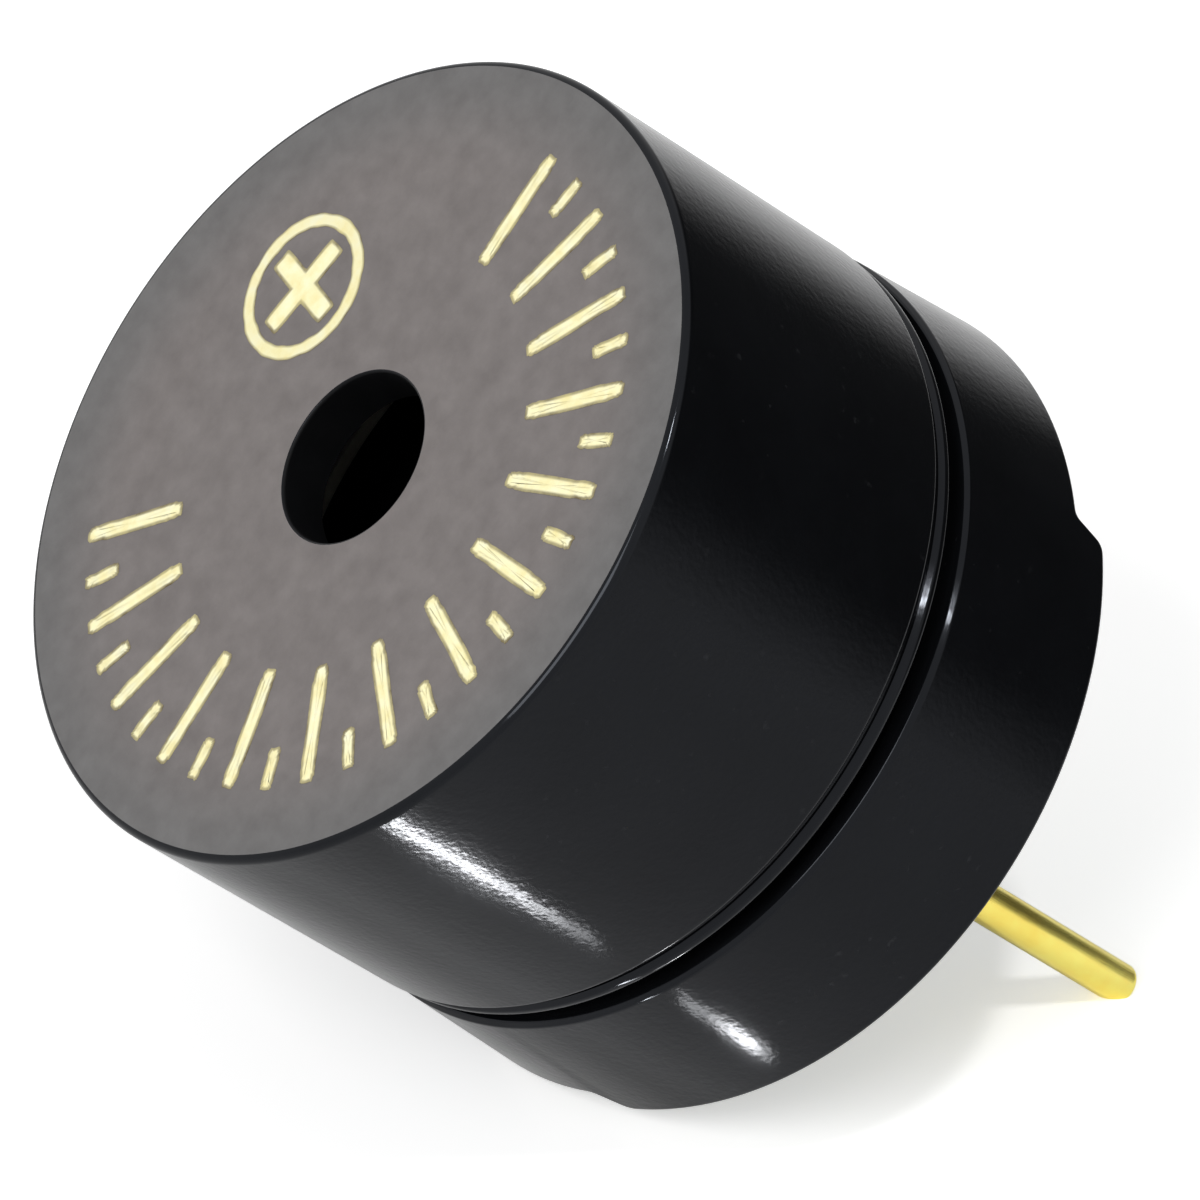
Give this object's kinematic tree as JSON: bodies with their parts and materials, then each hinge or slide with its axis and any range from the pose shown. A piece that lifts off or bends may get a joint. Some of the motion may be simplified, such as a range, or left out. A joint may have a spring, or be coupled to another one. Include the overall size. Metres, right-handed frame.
{
  "type": "magnetic buzzer",
  "caption": "Small round board-mount magnetic buzzer: black two-part case with a central sound port, a joint groove and notched feet, and two gold pins.",
  "frame": {"origin": "centre of the seating plane, midway between the pins", "axes": "+Z runs out through the sound port, +X runs through the negative pin"},
  "size_m": [0.012, 0.012, 0.0142],
  "materials": {
    "case_plastic": "moulded black plastic, glossy sides and a fine matt face",
    "gold_plate": "gold-plated brass",
    "board_laminate": "glass-epoxy laminate with green mask",
    "copper_foil": "copper foil",
    "solder": "bright solder",
    "resin": "set black resin",
    "plated_iron": "nickel-plated iron",
    "natural_nylon": "moulded natural nylon",
    "enamelled_wire": "enamelled copper wire",
    "tape_film": "amber film tape",
    "ferrite": "sintered ferrite",
    "spring_iron": "rolled nickel-iron strip"
  },
  "bodies": {
    "root": {"upper_case": "case_plastic", "lower_case": "case_plastic", "pin_positive": "gold_plate", "pin_negative": "gold_plate", "circuit_board": "board_laminate", "land_positive": "copper_foil", "land_negative": "copper_foil", "solder_positive": "solder", "solder_negative": "solder", "epoxy_seal": "resin", "yoke_plate": "plated_iron", "pole_core": "plated_iron", "bobbin": "natural_nylon", "coil_winding": "enamelled_wire", "coil_tape": "tape_film", "magnet_ring": "ferrite", "support_ring": "natural_nylon", "diaphragm": "spring_iron", "armature_disc": "spring_iron"}
  },
  "joints": []
}
